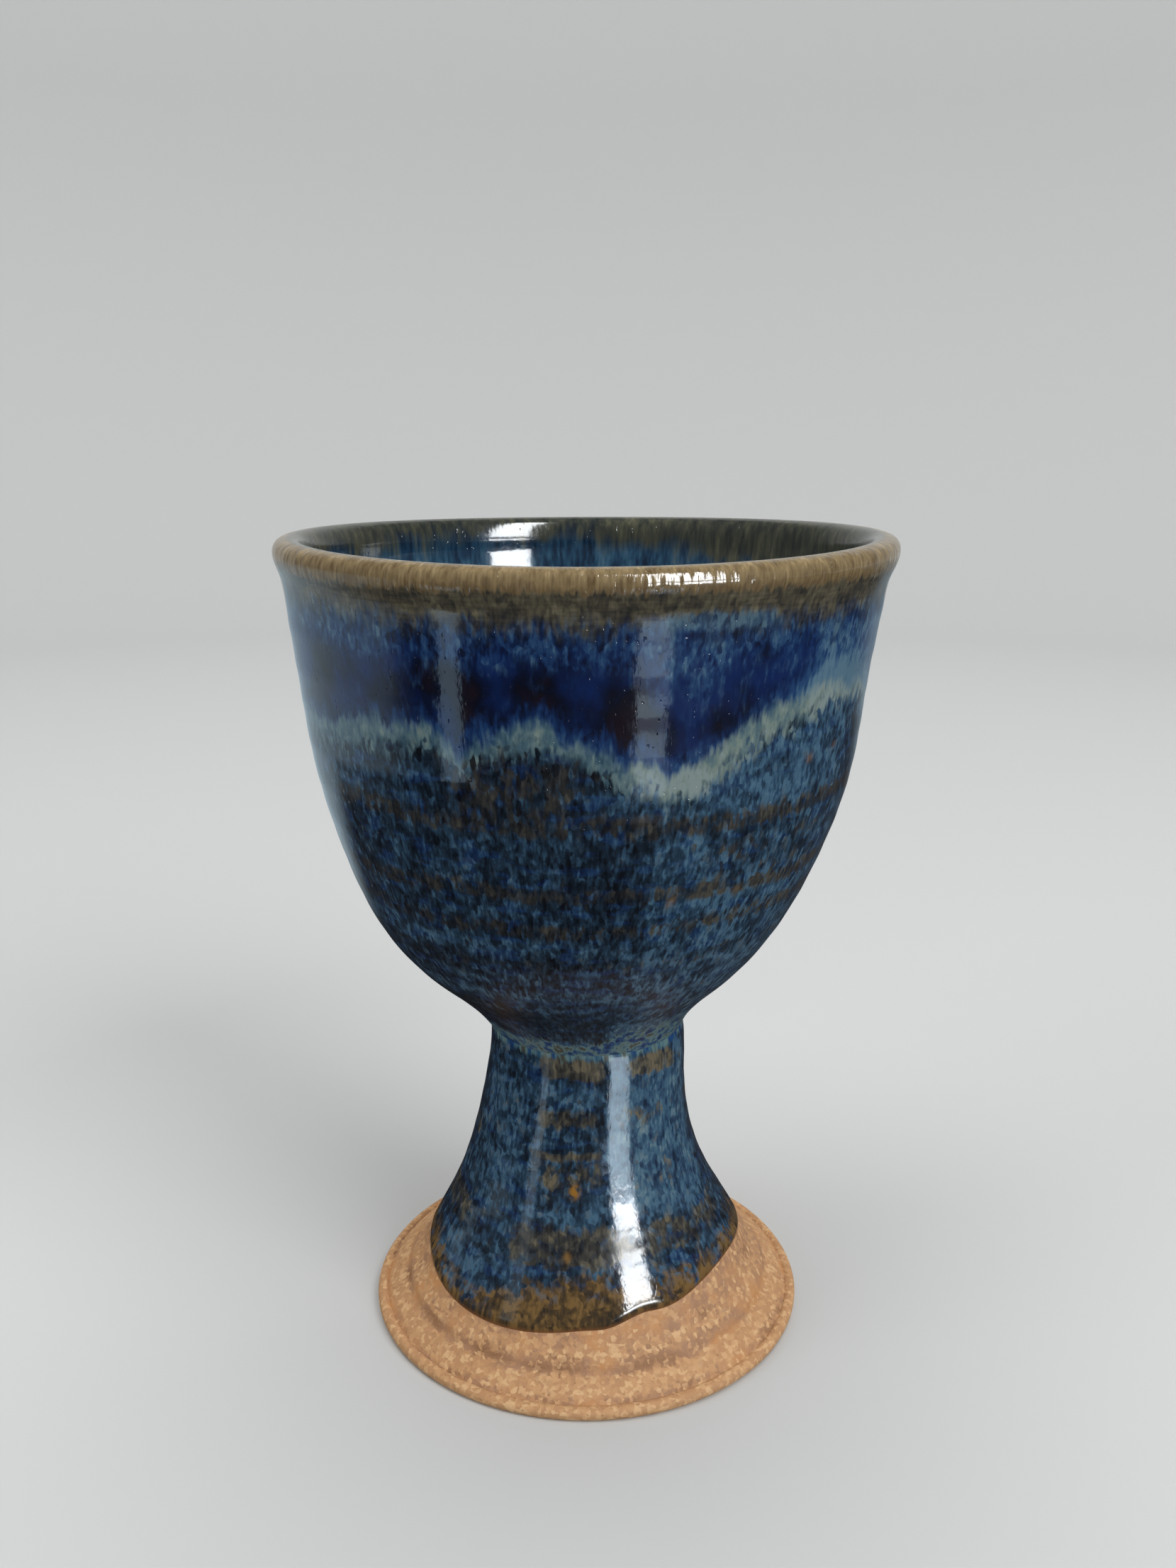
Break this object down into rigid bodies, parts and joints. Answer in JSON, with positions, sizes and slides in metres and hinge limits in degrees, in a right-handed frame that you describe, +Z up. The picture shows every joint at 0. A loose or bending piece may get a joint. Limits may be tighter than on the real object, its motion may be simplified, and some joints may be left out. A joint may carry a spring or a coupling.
{
  "type": "communion chalice",
  "caption": "Hand-thrown stoneware communion chalice: a tulip bowl with a rounded lip on a hollow trumpet pedestal, glazed blue above a bare clay foot.",
  "frame": {"origin": "centre of the foot's underside, on the surface the chalice stands on", "axes": "+Z up along the axis of the bowl and pedestal; -Y is the side where the dark glaze hangs lowest"},
  "size_m": [0.101, 0.101, 0.14],
  "materials": {
    "stoneware_clay": "bare fired stoneware, matt and slightly rough, buff with fine speckle and pale grog",
    "luting_slip": "fired slip, matt",
    "floating_blue_glaze": "glossy mottled blue and brown glaze with fine vertical streaks",
    "overdip_glaze": "glossy dark cobalt glaze with a pale green run along its lower edge",
    "lip_glaze": "thin glaze breaking tan brown, satin gloss",
    "liner_glaze": "glossy blue glaze, olive near the lip"
  },
  "bodies": {
    "root": {"bowl_body": "stoneware_clay", "pedestal_body": "stoneware_clay", "luting_slip": "luting_slip", "bowl_base_glaze": "floating_blue_glaze", "bowl_overdip_glaze": "overdip_glaze", "lip_glaze": "lip_glaze", "bowl_liner_glaze": "liner_glaze", "pedestal_glaze": "floating_blue_glaze"}
  },
  "joints": []
}
